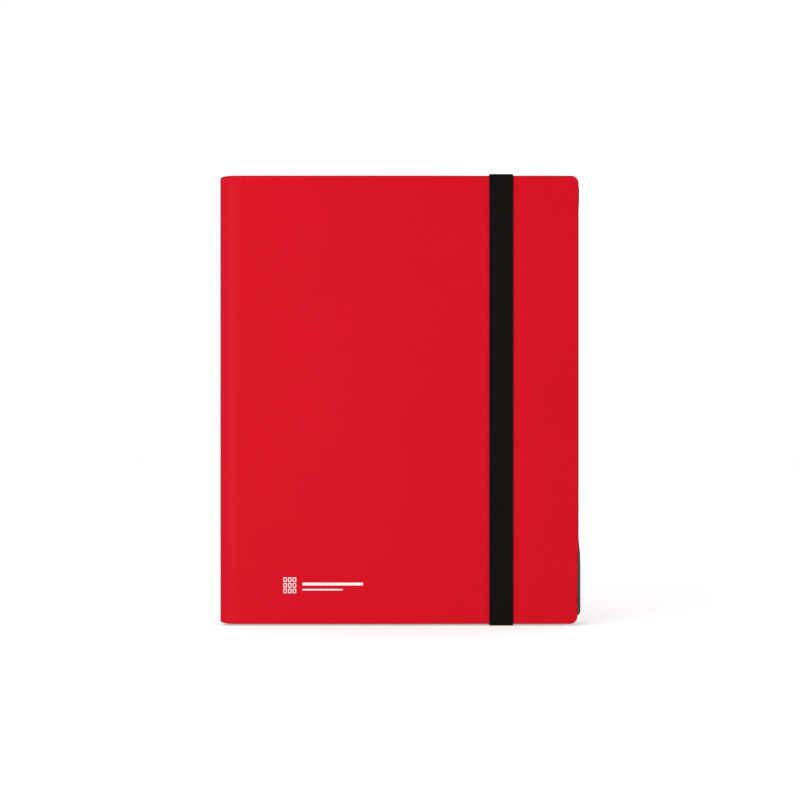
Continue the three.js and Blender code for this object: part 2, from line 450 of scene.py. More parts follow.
def addSun(name, strength, softness, tilt, turn):
    data = bpy.data.lights.new(name, "SUN")
    data.energy = strength
    data.angle = math.radians(softness)
    sun = bpy.data.objects.new(name, data)
    sun.rotation_euler = (math.radians(tilt), 0.0, math.radians(turn))
    scene.collection.objects.link(sun)


def addSoftBox(name, power, size, place, target):
    data = bpy.data.lights.new(name, "AREA")
    data.shape = "RECTANGLE"
    data.size, data.size_y = size
    data.energy = power
    lamp = bpy.data.objects.new(name, data)
    lamp.location = place
    lamp.rotation_euler = (Vector(target) - Vector(place)).to_track_quat("-Z", "Y").to_euler()
    scene.collection.objects.link(lamp)


def addFloor():
    bpy.ops.mesh.primitive_plane_add(size=stage["floorSize"])
    floor = bpy.context.active_object
    floor.name = "floor"
    floor.data.materials.append(studioFloor)


def addWhiteSurround():
    # what the camera sees past the floor: it lights nothing and reflects in nothing
    bpy.ops.mesh.primitive_uv_sphere_add(radius=stage["whiteRadius"], segments=48, ring_count=24)
    surround = bpy.context.active_object
    surround.name = "whiteSurround"
    surround.visible_diffuse = False
    surround.visible_glossy = False
    surround.visible_transmission = False
    surround.visible_shadow = False
    white = bpy.data.materials.new("whiteSurround")
    white.use_nodes = True
    shader = white.node_tree.nodes["Principled BSDF"]
    shader.inputs["Base Color"].default_value = (0.0, 0.0, 0.0, 1.0)
    shader.inputs["Emission Color"].default_value = (1.0, 1.0, 1.0, 1.0)
    shader.inputs["Emission Strength"].default_value = 1.0
    surround.data.materials.append(white)


def addLight():
    world = bpy.data.worlds.new("studio")
    world.use_nodes = True
    sky = world.node_tree.nodes["Background"]
    sky.inputs["Color"].default_value = (1.0, 1.0, 1.0, 1.0)
    sky.inputs["Strength"].default_value = stage["worldStrength"]
    scene.world = world
    for sun in stage["suns"]:
        addSun(*sun)
    for softBox in stage["softBoxes"]:
        addSoftBox(*softBox)


addCamera()
addFloor()
addWhiteSurround()
addLight()
print("stage set")


# mesh helpers

def smooth(value, low, high):
    # 0 below low, 1 above high, eased between
    t = np.clip((np.asarray(value, float) - low) / (high - low), 0.0, 1.0)
    return t * t * (3.0 - 2.0 * t)


def lines(*stretches):
    # each stretch is (from, to, steps); the lines they meet in are kept once
    values = [np.linspace(low, high, steps + 1) for low, high, steps in stretches]
    return np.unique(np.round(np.concatenate(values), 9))


def newPiece(name, vertices, faces, material):
    mesh = bpy.data.meshes.new(name)
    mesh.from_pydata([tuple(v) for v in vertices], [], [tuple(f) for f in faces])
    mesh.materials.append(material)
    mesh.validate()
    piece = bpy.data.objects.new(name, mesh)
    scene.collection.objects.link(piece)
    return piece


def smoothShade(mesh, angle=38.0):
    mesh.shade_smooth()
    mesh.set_sharp_from_angle(angle=math.radians(angle))


def gridFaces(columns, rows, keep=None):
    # quads of a grid of columns x rows vertices, in column order
    found = []
    for i in range(columns - 1):
        for j in range(rows - 1):
            if keep is None or keep(i, j):
                a = i * rows + j
                found.append((a, a + rows, a + rows + 1, a + 1))
    return found


def setAttribute(mesh, name, values):
    layer = mesh.attributes.get(name) or mesh.attributes.new(name, "FLOAT", "POINT")
    layer.data.foreach_set("value", np.asarray(values, np.float32))


def positions(mesh):
    flat = np.empty(len(mesh.vertices) * 3)
    mesh.vertices.foreach_get("co", flat)
    return flat.reshape(-1, 3)


def thicken(piece, thickness, offset=-1.0):
    # a wall of even thickness, left as a plain mesh
    wall = piece.modifiers.new("wall", "SOLIDIFY")
    wall.thickness = thickness
    wall.offset = offset
    wall.use_even_offset = True
    dependencies = bpy.context.evaluated_depsgraph_get()
    mesh = bpy.data.meshes.new_from_object(piece.evaluated_get(dependencies))
    piece.modifiers.clear()
    piece.data = mesh


def pointOutward(mesh):
    bm = bmesh.new()
    bm.from_mesh(mesh)
    bmesh.ops.recalc_face_normals(bm, faces=bm.faces)
    bm.to_mesh(mesh)
    bm.free()


def roundEdges(mesh, size, wanted, segments=2, angle=60.0):
    bm = bmesh.new()
    bm.from_mesh(mesh)
    sharp = [
        edge for edge in bm.edges
        if len(edge.link_faces) == 2
        and edge.calc_face_angle(0.0) > math.radians(angle)
        and wanted(edge)
    ]
    bmesh.ops.bevel(bm, geom=sharp, offset=size, segments=segments, profile=0.5, affect="EDGES")
    bm.to_mesh(mesh)
    bm.free()


# the cover: one folded sheet, in two skins that meet in the middle of the spine

cover = {
    "bow": 0.95 * mm,  # how far the sheet bows out between the spine and the strap
    "rollWidth": 11.0 * mm,  # from the fold to where the bow is full
    "bowFall": 62.0 * mm,  # before the strap
    "foreBow": 0.6 * mm,  # between the strap and the fore-edge
    "foreRise": 8.0 * mm,  # from the strap to where that bow is full
    "foreFall": 12.0 * mm,  # and to where it begins to fall
    "backBow": 0.7,  # share of the front's bow
    "cornerRadius": 5.0 * mm,
    "cornerSteps": 10,  # columns in a rounded corner
    "fineWidth": 14.0 * mm,  # of narrow columns, beside the fold
    "foldFull": 0.6 * mm,  # each side of a fold's crown that gets the full painted shade and wear
    "foldShadeAndWear": 3.6 * mm,  # and where that painted shade and wear ends
    "foldEase": 1.35 * mm,  # the sheet's ends draw in at the fold
    "foldReach": 8.0 * mm,
    "foreDraw": 0.75 * mm,  # the fore-edge draws in near its lower end
    "foreDrawStart": 12.0 * mm,  # full up to here, and none this much further up
    "foreDrawRise": 48.0 * mm,
    "foreDrawReach": 34.0 * mm,  # how far in from the fore-edge
    "rimRound": 0.2 * mm,
    # how far in from the cut rim the painted shade and the wear reach
    "rimShadeAndWearWidth": 0.9 * mm,
    "slotHeight": 1.8 * mm,
    "slotLength": 16.7 * mm,
    "slotInset": 3.4 * mm,
}
spineLength = halfDepth - foldRadius
foldLength = foldRadius * math.pi / 2
foldX = spineX + foldRadius


def coverBow(x, side):
    # how far the sheet stands out from its flat plane
    u = np.asarray(x, float) - foldX
    strapLeft = strapX - strapHalf - foldX
    strapRight = strapX + strapHalf - foldX
    end = foreX - foldX
    bowed = smooth(u, 0.0, cover["rollWidth"]) * (1.0 - smooth(u, strapLeft - cover["bowFall"], strapLeft))
    lift = smooth(u, strapRight, strapRight + cover["foreRise"])
    lift = lift * (1.0 - smooth(u, strapRight + cover["foreFall"], end))
    return (cover["bow"] * bowed + cover["foreBow"] * lift) * (1.0 if side < 0 else cover["backBow"])


def foreDraw(x, z):
    start = coverBottom + cover["foreDrawStart"]
    low = 1.0 - smooth(z, start, start + cover["foreDrawRise"])
    return cover["foreDraw"] * low * smooth(x, foreX - cover["foreDrawReach"], foreX)


def coverPoint(s, side):
    # x and y of a point s along the section from the spine's middle
    if s <= spineLength:
        return spineX, side * s
    if s <= spineLength + foldLength:
        angle = (s - spineLength) / foldRadius
        x = foldX - foldRadius * math.cos(angle)
        return x, side * (spineLength + foldRadius * math.sin(angle))
    x = foldX + s - spineLength - foldLength
    return x, side * (halfDepth + float(coverBow(x, side)))


def coverSkin(name, side):
    start = spineLength + foldLength
    flat = start - foldX  # add to x to get s, past the fold
    arcStart = foreX - cover["cornerRadius"]
    turns = np.linspace(0.0, math.pi / 2, cover["cornerSteps"] + 1)
    fineEnd = foldX + cover["fineWidth"]
    slotX = (strapX - cover["slotLength"] / 2, strapX + cover["slotLength"] / 2)
    along = np.unique(np.round(np.concatenate([
        lines((0.0, spineLength, 6), (spineLength, start, 12)),
        flat + lines(
            (foldX, fineEnd, 10), (fineEnd, slotX[0], 40), (slotX[0], slotX[1], 8), (slotX[1], arcStart, 14),
        ),
        flat + arcStart + cover["cornerRadius"] * np.sin(turns),
    ]), 9))
    slotZ = [
        (z - cover["slotHeight"] / 2, z + cover["slotHeight"] / 2)
        for z in (coverBottom + cover["slotInset"], coverTop - cover["slotInset"])
    ]
    up = lines(
        (coverBottom, slotZ[0][0], 3), (slotZ[0][0], slotZ[0][1], 2), (slotZ[0][1], slotZ[1][0], 64),
        (slotZ[1][0], slotZ[1][1], 2), (slotZ[1][1], coverTop, 3),
    )
    middle = (coverBottom + coverTop) / 2
    half = (coverTop - coverBottom) / 2
    vertices = []
    for s in along:
        x, y = coverPoint(s, side)
        drawn = cover["foldEase"] * max(0.0, 1.0 - (x - spineX) / cover["foldReach"]) ** 2
        overArc = max(0.0, x - arcStart)
        rounded = cover["cornerRadius"] - math.sqrt(max(0.0, cover["cornerRadius"] ** 2 - overArc ** 2))
        for z in up:
            share = (z - middle) / half
            height = middle + share * (half - drawn - rounded)
            vertices.append((x - foreDraw(x, height), y, height))
    xs = [coverPoint(s, side)[0] for s in along]

    def solidHere(i, j):
        x = (xs[i] + xs[i + 1]) / 2
        z = (up[j] + up[j + 1]) / 2
        past = along[i] >= start
        inSlot = past and slotX[0] < x < slotX[1] and any(low < z < high for low, high in slotZ)
        return side < 0 or not inSlot

    faces = gridFaces(len(along), len(up), solidHere)
    if side > 0:
        faces = [face[::-1] for face in faces]
    piece = newPiece(name, vertices, faces, redSheet)
    thicken(piece, sheet)

    def offMiddle(edge):
        # the two skins meet square, where y is 0
        return max(abs(v.co.y) for v in edge.verts) > 0.001 * mm

    roundEdges(piece.data, cover["rimRound"], offMiddle)
    markShadeAndWear(piece.data)
    smoothShade(piece.data)
    return piece


def markShadeAndWear(mesh):
    # how near each point is to the cut rim, and to the crown of a fold, as masks for painted shade and for
    # wear
    x, y, z = positions(mesh).T
    fromRim = np.minimum(np.minimum(foreX - foreDraw(x, z) - x, z - coverBottom), coverTop - z)
    setAttribute(mesh, "rim", 1.0 - smooth(fromRim, 0.0, cover["rimShadeAndWearWidth"]))
    beside = np.maximum(x - foldX, spineLength - np.abs(y)) + foldLength / 2
    turned = np.arctan2(np.abs(y) - spineLength, foldX - x) - math.pi / 4
    inFold = (x < foldX) & (np.abs(y) > spineLength)
    fromCrown = np.where(inFold, np.abs(turned) * foldRadius, beside)
    setAttribute(mesh, "fold", 1.0 - smooth(fromCrown, cover["foldFull"], cover["foldShadeAndWear"]))


frontSkin = coverSkin("coverFrontSkin", -1)
backSkin = coverSkin("coverBackSkin", 1)
for skin, side, body in ((frontSkin, -1, "front_cover"), (backSkin, 1, "back_cover")):
    spineEnd = (spineX, side * spineLength, 0.0)
    coverEnd = (foldX, side * halfDepth, 0.0)
    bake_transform(skin)
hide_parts("cover_front_panel", "cover_spine")
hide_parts("cover_back_panel")
print("cover made")


# the printed mark on the front cover: a page of cards and two plain rules

printed = {
    "left": -78.0 * mm,
    "bottom": 20.6 * mm,  # above the cover's lower edge
    "height": 10.6 * mm,
    "cards": 3,  # each way
    "stroke": 0.55 * mm,
    "cardShape": 0.78,  # a card's width to its height
    "cardCorner": 0.5 * mm,
    "insideCorner": 0.15 * mm,
    "cardGap": 0.75 * mm,
    "ruleStart": 4.2 * mm,  # past the page
    "ruleLengths": (40.5 * mm, 27.0 * mm),
    "ruleHeights": (1.9 * mm, 1.0 * mm),
    "ruleRise": (5.2 * mm, 1.9 * mm),
    "ruleSteps": 12,
    "proud": 0.035 * mm,
    "sunk": 0.06 * mm,
}


def roundedOutline(x0, x1, z0, z1, radius, steps=4):
    corners = ((x1 - radius, z1 - radius, 0), (x0 + radius, z1 - radius, 1),
               (x0 + radius, z0 + radius, 2), (x1 - radius, z0 + radius, 3))
    found = []
    for cx, cz, quarter in corners:
        for k in range(steps + 1):
            angle = (quarter + k / steps) * math.pi / 2
            found.append((cx + radius * math.cos(angle), cz + radius * math.sin(angle)))
    return found


class inkSheet:
    # collects closed flat shapes that lie on the bowed cover
    def __init__(self):
        self.vertices = []
        self.faces = []

    def onCover(self, x, z, rise):
        return (x, -halfDepth - float(coverBow(x, -1)) - rise, z)

    def ring(self, outer, inner):
        # a closed band between two outlines with the same number of points
        count = len(outer)
        first = len(self.vertices)
        for outline, rise in ((outer, printed["proud"]), (inner, printed["proud"]),
                              (inner, -printed["sunk"]), (outer, -printed["sunk"])):
            self.vertices += [self.onCover(x, z, rise) for x, z in outline]
        for loop in range(4):
            after = (loop + 1) % 4
            for k in range(count):
                n = (k + 1) % count
                self.faces.append((
                    first + loop * count + k, first + loop * count + n,
                    first + after * count + n, first + after * count + k,
                ))

    def bar(self, x0, x1, z0, z1):
        # a rule, in short steps so that it follows the bow
        steps = printed["ruleSteps"]
        first = len(self.vertices)
        for k in range(steps + 1):
            x = x0 + (x1 - x0) * k / steps
            for z, rise in ((z0, printed["proud"]), (z1, printed["proud"]),
                            (z1, -printed["sunk"]), (z0, -printed["sunk"])):
                self.vertices.append(self.onCover(x, z, rise))
        for k in range(steps):
            for side in range(4):
                a, b = first + 4 * k + side, first + 4 * k + (side + 1) % 4
                self.faces.append((a, a + 4, b + 4, b))
        last = first + 4 * steps
        self.faces.append((first, first + 1, first + 2, first + 3))
        self.faces.append((last + 3, last + 2, last + 1, last))


def printedMark():
    ink = inkSheet()
    z0 = coverBottom + printed["bottom"]
    cards, gap, stroke = printed["cards"], printed["cardGap"], printed["stroke"]
    cardHeight = (printed["height"] - (cards - 1) * gap) / cards
    cardWidth = cardHeight * printed["cardShape"]
    for column in range(cards):
        for row in range(cards):
            x = printed["left"] + column * (cardWidth + gap)
            z = z0 + row * (cardHeight + gap)
            outer = roundedOutline(x, x + cardWidth, z, z + cardHeight, printed["cardCorner"])
            x, width = x + stroke, cardWidth - 2 * stroke
            z, height = z + stroke, cardHeight - 2 * stroke
            ink.ring(outer, roundedOutline(x, x + width, z, z + height, printed["insideCorner"]))
    pageEnd = printed["left"] + cards * cardWidth + (cards - 1) * gap
    for length, height, rise in zip(printed["ruleLengths"], printed["ruleHeights"], printed["ruleRise"]):
        x = pageEnd + printed["ruleStart"]
        ink.bar(x, x + length, z0 + rise, z0 + rise + height)
    piece = newPiece("printedMark", ink.vertices, ink.faces, printInk)
    pointOutward(piece.data)
    return piece


mark = printedMark()
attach(mark, "front_cover")
print("mark printed")


# the leaves

leaf = {
    "backing": 0.3 * mm,
    "film": 0.07 * mm,
    "columns": 3,
    "rows": 3,
    "weld": 1.7 * mm,
    "fused": 0.75,  # at the fore-edge the weld lies dark on the black sheet
    "fusedReach": (3.0 * mm, 1.0 * mm),  # before the fore-edge
    "mouth": 1.0 * mm,
    "lie": 0.03 * mm,  # film above the backing where it is welded
    "puff": 0.26 * mm,  # and this much more in the middle of a pocket
    "lip": 0.5,  # share of the puff that stays at the mouth
    "easeWidth": 9.0 * mm,  # from a weld to the full puff
    "mouthEase": 1.5,  # times that, from the mouth
    "weldFade": 1.6,  # the frosted line fades out at this many half welds
    "pocketLines": (15, 17),  # of the grid, across and up
    "hemLines": (4, 37),
    "hemWidth": 14.0 * mm,  # of clear film before the first mouths
    "hemStart": 14.5 * mm,  # past the hinge
    "hemWeld": 0.12,  # how frosted the hem is
    "mergeWithin": 0.002 * mm,
    "cornerRadius": 3.5 * mm,
    "cornerSteps": 6,
    "root": 1.0 * mm,  # the backing starts this far inside the binding strip
    "peekBottom": 0.8 * mm,  # the fore-edge against the CAD's
    "peekTop": -0.1 * mm,
    "peekMiddle": -1.0 * mm,
    "lowPeek": (38.0 * mm, 58.0 * mm),  # above the foot, from full to none
    "highPeek": (34.0 * mm, 8.0 * mm),  # below the top, from none to full
    "peekReach": 60.0 * mm,  # how far in from the fore-edge
    "bow": 0.8 * mm,  # towards the front, where the cover bows out
    "bowRise": (4.0 * mm, 60.0 * mm),  # past the hinge
    "bowFall": 90.0 * mm,  # before the strap
    "sway": 0.2 * mm,  # out of flat, towards the fore-edge
    "swayWave": (1.3 * math.pi, 0.6),  # turn from foot to top, and where it starts
    "ownSway": 0.05 * mm,
    "ownWave": (7.0, 2.4),  # turn from foot to top, and from leaf to leaf
    "swayStart": 30.0 * mm,  # past the hinge
    "flex": 3.0 * mm,  # the margin bends over this much on each side of the hinge
    "edgeWear": 0.8 * mm,
    "seamFromHinge": 7.0 * mm,
    "seamPitch": 3.0 * mm,
    "seamEnds": 4.0 * mm,  # left plain at the top and the bottom
    "dash": (0.9 * mm, 0.12 * mm, 1.9 * mm),
}
backingLow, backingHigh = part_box("leaf_01_backing")
hingeX = hinges["leaf_01_turn"].x
leafEnd = backingHigh.x
leafBottom, leafTop = backingLow.z, backingHigh.z
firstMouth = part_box("leaf_01_pockets")[0].x + leaf["hemWidth"]
columnPitch = (leafEnd - firstMouth) / leaf["columns"]
rowPitch = (leafTop - leafBottom - leaf["weld"]) / leaf["rows"]


class shapeGraph(nodeGraph):
    # a Geometry Nodes tree with named inputs, and the steps that the trees here share
    def __init__(self, name, sockets):
        super().__init__(bpy.data.node_groups.new(name, "GeometryNodeTree"))
        for socket, kind in sockets:
            self.tree.interface.new_socket(socket, in_out="INPUT", socket_type="NodeSocket" + kind)
        self.tree.interface.new_socket("Geometry", in_out="OUTPUT", socket_type="NodeSocketGeometry")
        self.given = self.node("NodeGroupInput").outputs

    def sizes(self, *names):
        return [num(self, self.given[name]) for name in names]

    def step(self, kind, inputs, settings=None):
        return self.node(kind, settings, inputs).outputs[0]

    def place(self):
        return self.separate(self.step("GeometryNodeInputPosition", None))

    def store(self, geometry, name, value):
        inputs = {"Geometry": geometry, "Name": name, "Value": value}
        settings = {"data_type": "FLOAT", "domain": "POINT"}
        return self.step("GeometryNodeStoreNamedAttribute", inputs, settings)

    def move(self, geometry, x, y, z):
        inputs = {"Geometry": geometry, "Position": self.combine(x, y, z)}
        return self.step("GeometryNodeSetPosition", inputs)

    def join(self, *parts):
        made = self.node("GeometryNodeJoinGeometry")
        for part in parts:
            self.tree.links.new(part, made.inputs[0])
        return made.outputs[0]

    def merge(self, geometry, distance):
        return self.step("GeometryNodeMergeByDistance", {"Geometry": geometry, "Distance": distance})

    def close(self, geometry):
        # made real, given its material and handed out
        real = self.step("GeometryNodeRealizeInstances", {"Geometry": geometry})
        inputs = {"Geometry": real, "Material": self.given["Material"]}
        painted = self.step("GeometryNodeSetMaterial", inputs)
        self.tree.links.new(painted, self.node("NodeGroupOutput").inputs[0])
        return self.tree


def pocketTree():
    # one side of a leaf: strips of clear film with a puffed pocket in each row
    g = shapeGraph("pocketSkin", (
        ("Columns", "Int"), ("Rows", "Int"), ("Column Pitch", "Float"), ("Row Pitch", "Float"),
        ("Weld", "Float"), ("Mouth", "Float"), ("Lie", "Float"), ("Puff", "Float"), ("Lip", "Float"),
        ("Ease", "Float"), ("Film", "Float"), ("Backing", "Float"), ("Hem", "Float"),
        ("Material", "Material"),
    ))
    columns, rows, wide, high = g.sizes("Columns", "Rows", "Column Pitch", "Row Pitch")
    weld, mouth, lie, puff, lip = g.sizes("Weld", "Mouth", "Lie", "Puff", "Lip")
    easeWidth, film, backing, hemWidth = g.sizes("Ease", "Film", "Backing", "Hem")
    halfWidth = (wide - mouth) / 2
    halfHeight = high / 2

    # one pocket, on a grid whose lines crowd to its borders
    across, up = leaf["pocketLines"]
    patch = g.step("GeometryNodeMeshGrid", {
        "Size X": 2.0, "Size Y": 2.0, "Vertices X": across, "Vertices Y": up,
    })
    u, v, _ = g.place()
    x = g.sine(u * (math.pi / 2)) * halfWidth
    z = g.sine(v * (math.pi / 2)) * halfHeight
    fromEnd = halfWidth - x
    fromMouth = halfWidth + x
    fromSide = halfHeight - abs(z)
    welded = weld / 2
    reach = welded + easeWidth
    rise = g.ease(fromEnd, welded, reach) * g.ease(fromSide, welded, reach)
    rise = rise * g.ease(fromMouth, 0.0, easeWidth * leaf["mouthEase"], lip, 1.0)
    faded = welded * leaf["weldFade"]
    seam = 1.0 - g.ease(fromEnd, welded, faded) * g.ease(fromSide, welded, faded)
    pocket = g.move(g.store(patch, "weld", seam), x, 0.0 - (backing / 2 + lie + puff * rise), z)
    places = g.step("GeometryNodeMeshGrid", {
        "Size X": wide * (columns - 1.0), "Size Y": high * (rows - 1.0),
        "Vertices X": columns, "Vertices Y": rows,
    })
    x, z, _ = g.place()
    places = g.move(places, x + mouth / 2, 0.0, z)
    copies = g.step("GeometryNodeInstanceOnPoints", {"Points": places, "Instance": pocket})
    pockets = g.step("GeometryNodeRealizeInstances", {"Geometry": copies})

    # the clear hem between the binding and the first mouths
    across, up = leaf["hemLines"]
    hem = g.step("GeometryNodeMeshGrid", {
        "Size X": hemWidth, "Size Y": high * rows, "Vertices X": across, "Vertices Y": up,
    })
    x, z, _ = g.place()
    hemMiddle = 0.0 - wide * columns / 2 - hemWidth / 2
    hem = g.store(g.move(hem, x + hemMiddle, 0.0 - backing / 2 - lie, z), "weld", leaf["hemWeld"])
    skin = g.merge(g.join(hem, pockets), leaf["mergeWithin"])

    # a wall, closed by the same faces turned round
    pulled = g.step("GeometryNodeExtrudeMesh", {
        "Mesh": skin, "Offset": g.combine(0.0, 0.0 - film, 0.0), "Offset Scale": 1.0, "Individual": False,
    })
    turned = g.step("GeometryNodeFlipFaces", {"Mesh": skin})
    return g.close(g.merge(g.join(turned, pulled), leaf["mergeWithin"]))


def runTree(name, tree, values, source=None):
    # the tree's result as a plain mesh
    holder = bpy.data.objects.new(name, source or bpy.data.meshes.new(name))
    scene.collection.objects.link(holder)
    modifier = holder.modifiers.new(name, "NODES")
    modifier.node_group = tree
    ids = {item.name: item.identifier for item in tree.interface.items_tree if item.in_out == "INPUT"}
    for key, value in values.items():
        modifier[ids[key]] = value
    dependencies = bpy.context.evaluated_depsgraph_get()
    mesh = bpy.data.meshes.new_from_object(holder.evaluated_get(dependencies))
    bpy.data.objects.remove(holder)
    return mesh


def leafSway(x, z, index):
    # every leaf leans the same soft way, and a little of its own
    far = smooth(x, hingeX + leaf["swayStart"], leafEnd)
    up = (z - leafBottom) / (leafTop - leafBottom)
    sharedTurn, sharedStart = leaf["swayWave"]
    ownTurn, ownStep = leaf["ownWave"]
    shared = np.sin(up * sharedTurn + sharedStart) * leaf["sway"]
    own = np.sin(up * ownTurn + index * ownStep) * leaf["ownSway"]
    bowStart, bowFull = leaf["bowRise"]
    bowed = smooth(x, hingeX + bowStart, hingeX + bowFull)
    bowed = bowed * (1.0 - smooth(x, strapX - leaf["bowFall"], strapX))
    return far * (shared + own) - leaf["bow"] * bowed


def foreEdgeShift(x, z):
    # the fore-edge is cut a little hollow, so only its ends show past the cover
    low = 1.0 - smooth(z, leafBottom + leaf["lowPeek"][0], leafBottom + leaf["lowPeek"][1])
    high = smooth(z, leafTop - leaf["highPeek"][0], leafTop - leaf["highPeek"][1])
    middle = leaf["peekMiddle"]
    shift = middle + low * (leaf["peekBottom"] - middle) + high * (leaf["peekTop"] - middle)
    return smooth(x, leafEnd - leaf["peekReach"], leafEnd) * shift


def cornerDrop(x):
    over = np.maximum(0.0, x - (leafEnd - leaf["cornerRadius"]))
    return leaf["cornerRadius"] - np.sqrt(np.maximum(0.0, leaf["cornerRadius"] ** 2 - over ** 2))


def shapeLeaf(points, y, index):
    # from the flat template to the leaf's own place and lie
    x, depth, up = points.T
    middle = (leafBottom + leafTop) / 2
    half = (leafTop - leafBottom) / 2
    drop = cornerDrop(np.minimum(x, leafEnd))
    z = middle + (up - middle) * (half - drop) / half
    return np.column_stack([x + foreEdgeShift(x, z), depth + y + leafSway(x, z, index), z])


def meshArrays(mesh):
    return positions(mesh), [tuple(polygon.vertices) for polygon in mesh.polygons]


def bothSides(points, faces):
    # the side that faces -Y, and its mirror
    mirrored = points * np.array([1.0, -1.0, 1.0])
    count = len(points)
    turned = [tuple(v + count for v in face[::-1]) for face in faces]
    return np.vstack([points, mirrored]), faces + turned


def filmTemplate():
    # both sides' film, and how far each point is welded
    mesh = runTree("pocketSkin", pocketTree(), {
        "Columns": leaf["columns"], "Rows": leaf["rows"], "Column Pitch": columnPitch, "Row Pitch": rowPitch,
        "Weld": leaf["weld"], "Mouth": leaf["mouth"], "Lie": leaf["lie"], "Puff": leaf["puff"],
        "Lip": leaf["lip"], "Ease": leaf["easeWidth"], "Film": leaf["film"], "Backing": leaf["backing"],
        "Hem": firstMouth - hingeX - leaf["hemStart"], "Material": clearFilm,
    })
    points, faces = meshArrays(mesh)
    weld = np.empty(len(points))
    mesh.attributes["weld"].data.foreach_get("value", weld)
    middleX = firstMouth + leaf["columns"] * columnPitch / 2
    middleZ = (leafBottom + leafTop) / 2
    points = points + np.array([middleX, 0.0, middleZ])
    fusedStart, fusedFull = leaf["fusedReach"]
    weld = weld * (1.0 - leaf["fused"] * smooth(points[:, 0], leafEnd - fusedStart, leafEnd - fusedFull))
    points, faces = bothSides(points, faces)
    return points, faces, np.concatenate([weld, weld])


def sheetTemplate():
    # the black backing, from inside its stub to the fore-edge
    arcStart = leafEnd - leaf["cornerRadius"]
    turns = np.linspace(0.0, math.pi / 2, leaf["cornerSteps"] + 1)
    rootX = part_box("binding_strip")[0].x + leaf["root"]
    xs = np.unique(np.round(np.concatenate([
        lines((rootX, hingeX - leaf["flex"], 1), (hingeX - leaf["flex"], hingeX + leaf["flex"], 12),
              (hingeX + leaf["flex"], arcStart, 22)),
        arcStart + leaf["cornerRadius"] * np.sin(turns),
    ]), 9))
    zs = lines((leafBottom, leafTop, 26))
    piece = newPiece(
        "sheetTemplate", [(x, 0.0, z) for x in xs for z in zs], gridFaces(len(xs), len(zs)), blackSheet,
    )
    thicken(piece, leaf["backing"], 0.0)
    points, faces = meshArrays(piece.data)
    bpy.data.objects.remove(piece)
    return points, faces


def seamTree():
    # a row of pressed dashes
    g = shapeGraph("bindingSeam", (
        ("Count", "Int"), ("Pitch", "Float"), ("Start", "Vector"), ("Dash", "Vector"),
        ("Material", "Material"),
    ))
    row = g.step("GeometryNodeMeshLine", {
        "Count": g.given["Count"], "Start Location": g.given["Start"],
        "Offset": g.combine(0.0, 0.0, *g.sizes("Pitch")),
    }, {"mode": "OFFSET"})
    dot = g.step("GeometryNodeMeshUVSphere", {"Segments": 8, "Rings": 4, "Radius": 0.5})
    flat = g.step("GeometryNodeTransform", {"Geometry": dot, "Scale": g.given["Dash"]})
    return g.close(g.step("GeometryNodeInstanceOnPoints", {"Points": row, "Instance": flat}))


def seamTemplate():
    bottom = leafBottom + leaf["seamEnds"]
    high = leafTop - leafBottom - 2 * leaf["seamEnds"]
    start = (hingeX + leaf["seamFromHinge"], -leaf["backing"] / 2, bottom + leaf["seamPitch"] / 2)
    mesh = runTree("bindingSeam", seamTree(), {
        "Count": int(high / leaf["seamPitch"]), "Pitch": leaf["seamPitch"], "Start": start,
        "Dash": leaf["dash"], "Material": blackSheet,
    })
    return bothSides(*meshArrays(mesh))


def makeLeaves():
    filmPoints, filmFaces, weld = filmTemplate()
    sheetPoints, sheetFaces = sheetTemplate()
    seamPoints, seamFaces = seamTemplate()
    sheetCount = len(sheetPoints)
    joined = np.vstack([sheetPoints, seamPoints])
    joinedFaces = sheetFaces + [tuple(v + sheetCount for v in face) for face in seamFaces]
    for index, label in enumerate(leafLabels):
        y = hinges[f"leaf_{label}_turn"].y
        black = newPiece(f"leafSheet_{label}", shapeLeaf(joined, y, index), joinedFaces, blackSheet)
        setAttribute(black.data, "wear", 1.0 - smooth(leafEnd - joined[:, 0], 0.0, leaf["edgeWear"]))
        smoothShade(black.data)
        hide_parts(f"leaf_{label}_backing")
        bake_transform(black)
        film = newPiece(f"leafPockets_{label}", shapeLeaf(filmPoints, y, index), filmFaces, clearFilm)
        setAttribute(film.data, "weld", weld)
        smoothShade(film.data)
        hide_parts(f"leaf_{label}_pockets")
        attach(film, f"leaf_{label}")


makeLeaves()
print("leaves made")


# the binding strip, as in the CAD

strip = frame["nodes"]["binding_strip"]
strip.data.materials.clear()
strip.data.materials.append(blackSheet)


# the strap

strap = {
    "thickness": 0.95 * mm,
    "ribDepth": 0.13,  # share of the half thickness
    "selvage": 0.5 * mm,
    "ringSteps": 288,  # points round the band
    "mergeWithin": 0.003 * mm,
    "bend": 0.9 * mm,  # radius of the strap's middle
    "clear": 0.2 * mm,
    "halfRoom": 0.5 * mm,  # half the thickness of the CAD's strap
    "tailEnd": 2.4 * mm,  # inside the cover
    "squashed": 0.05,  # what is left of a leg when the run is released
}
strapMiddle = halfDepth + strap["clear"] + strap["halfRoom"]  # from the binder's middle, to the strap's
strapBend = strapMiddle - strap["bend"]
lowMiddle = strap["halfRoom"]
topMiddle = runHigh.z - strap["halfRoom"]


